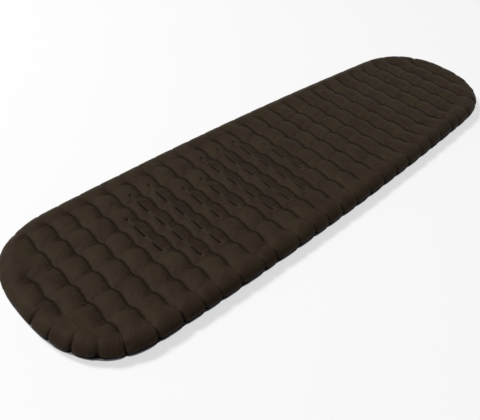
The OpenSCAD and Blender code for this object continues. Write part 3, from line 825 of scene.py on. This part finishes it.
mark(bottom_fabric, "creased", np.concatenate([np.exp(-weld_gap / 0.008).ravel(), rim_zero + 0.2]))
welded = (weld_gap < 0.0002) & (weld_share > 0.5) | (panel > 0.02) | (z < 0.0008)
held = np.concatenate([welded.ravel(), np.repeat(~on_wall, len(run))])
inflate(bottom_fabric, held, 0.010, 0.0015, pull)

# The ground stops the swollen fabric, and the faces inside the valve's hole go.
settled = np.empty(len(bottom_fabric.data.vertices) * 3, np.float32)
bottom_fabric.data.vertices.foreach_get("co", settled)
settled[2::3] = np.maximum(settled[2::3], ground_gap)
bottom_fabric.data.vertices.foreach_set("co", settled)
face_rows = np.abs(row_step[:-1] + row_step[1:]) / 2
face_columns = np.abs(column_step[:, :-1] + column_step[:, 1:]) / 2
hole_faces = np.flatnonzero((np.maximum(face_rows, face_columns) < 1.0).ravel())
cutter = bmesh.new()
cutter.from_mesh(bottom_fabric.data)
cutter.faces.ensure_lookup_table()
bmesh.ops.delete(cutter, geom=[cutter.faces[int(i)] for i in hole_faces], context="FACES")
cutter.to_mesh(bottom_fabric.data)
cutter.free()

# The low-angle tone is a painted sheen. The weld mark only darkens the welds.
bottom_finish = fabric_material(
    "bottom_nylon", colour=(0.185, 0.187, 0.212), deep=(0.150, 0.152, 0.176),
    roughness=0.50, painted_sheen_tone=(0.300, 0.300, 0.320),
    marks=(("dark_weld_and_shade", (0.090, 0.091, 0.105)),))
bottom_fabric.data.materials.append(bottom_finish)
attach(bottom_fabric, "pad")
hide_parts("bottom_sheet")


# Baffles, ties and the valve's flange: thin milky film, welded by its turned edges. The
# rolls that press it leave faint streaks down the web.

def moulded_material(name, colour, deep, roughness, colour_scale, stretch_by,
                     grain_scale, grain_depth):
    """A finish in Object coordinates: slow noise, stretched along an axis, mixes the two
    colours and varies the roughness by a tenth, and fine noise is the surface's grain."""
    finish, shader, nodes, links = new_material(name, colour, roughness)
    place = nodes.new("ShaderNodeTexCoord")
    stretch = nodes.new("ShaderNodeMapping")
    stretch.inputs["Scale"].default_value = stretch_by
    links.new(place.outputs["Object"], stretch.inputs["Vector"])
    slow, fine = nodes.new("ShaderNodeTexNoise"), nodes.new("ShaderNodeTexNoise")
    for noise, scale in ((slow, colour_scale), (fine, grain_scale)):
        noise.inputs["Scale"].default_value = scale
        noise.inputs["Detail"].default_value = 3.0
        links.new(stretch.outputs["Vector"], noise.inputs["Vector"])
    tint = nodes.new("ShaderNodeMix")
    tint.data_type = "RGBA"
    tint.inputs["A"].default_value = (*deep, 1.0)
    tint.inputs["B"].default_value = (*colour, 1.0)
    links.new(slow.outputs["Fac"], tint.inputs["Factor"])
    links.new(tint.outputs["Result"], shader.inputs["Base Color"])
    swing = number_node(nodes, links, "MULTIPLY", slow.outputs["Fac"], 0.2)
    links.new(number_node(nodes, links, "ADD", swing, roughness - 0.1), shader.inputs["Roughness"])
    bump = nodes.new("ShaderNodeBump")
    bump.inputs["Distance"].default_value = grain_depth
    links.new(fine.outputs["Fac"], bump.inputs["Height"])
    links.new(bump.outputs["Normal"], shader.inputs["Normal"])
    return finish, shader


def give_finish(finish, names):
    """Puts one finish in every material slot of the named nodes."""
    for name in names:
        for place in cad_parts[name].material_slots:
            place.material = finish


film_finish, _ = moulded_material(
    "milky_film", colour=(0.46, 0.44, 0.40), deep=(0.36, 0.345, 0.31), roughness=0.42,
    colour_scale=45.0, stretch_by=(1.0, 1.0, 0.2), grain_scale=900.0, grain_depth=0.0001)
give_finish(film_finish, [f"baffle_{k:02d}" for k in range(1, line_count + 1)]
            + [f"zone_tie_row_{row}" for row in range(1, tie_row_count + 1)] + ["valve_flange"])


# Valve housing and inflation cap: black moulded nylon with a spark-eroded texture. The
# housing is the collar that the flange's film is welded to, and the lid hangs on it.

black_finish, _ = moulded_material(
    "black_plastic", colour=(0.0060, 0.0060, 0.0066), deep=(0.0042, 0.0042, 0.0046),
    roughness=0.46, colour_scale=160.0, stretch_by=(1.0, 1.0, 1.0),
    grain_scale=3800.0, grain_depth=0.00012)
give_finish(black_finish, ["valve_housing", "inflation_cap"])


# Deflation lid: the same nylon moulding and texture in dark grey, so that the eye finds
# the part that opens the wide mouth.

grey_finish, _ = moulded_material(
    "grey_plastic", colour=(0.047, 0.050, 0.056), deep=(0.036, 0.038, 0.043),
    roughness=0.46, colour_scale=160.0, stretch_by=(1.0, 1.0, 1.0),
    grain_scale=3800.0, grain_depth=0.00012)
give_finish(grey_finish, ["deflation_lid"])


# Seals and check flap: soft pale silicone, smooth from its polished mould, and slightly
# clear at its thin edges.

silicone_finish, silicone_shader = moulded_material(
    "silicone", colour=(0.145, 0.150, 0.155), deep=(0.115, 0.119, 0.123),
    roughness=0.38, colour_scale=220.0, stretch_by=(1.0, 1.0, 1.0),
    grain_scale=1500.0, grain_depth=0.00004)
silicone_shader.inputs["Subsurface Weight"].default_value = 0.25
silicone_shader.inputs["Subsurface Radius"].default_value = (0.002, 0.002, 0.002)
silicone_shader.inputs["Subsurface Scale"].default_value = 0.5
give_finish(silicone_finish, ["plug_seal", "check_flap", "cap_seal"])


# Hinge pins: drawn stainless wire along the hinges' axis, pressed into the ears, with the
# draw marks along it.

steel_finish, steel_shader = moulded_material(
    "drawn_steel", colour=(0.52, 0.52, 0.54), deep=(0.42, 0.42, 0.44), roughness=0.30,
    colour_scale=900.0, stretch_by=(0.03, 1.0, 1.0), grain_scale=5000.0, grain_depth=0.00003)
steel_shader.inputs["Metallic"].default_value = 1.0
give_finish(steel_finish, ["lid_hinge_pin", "cap_hinge_pin"])


low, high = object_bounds()
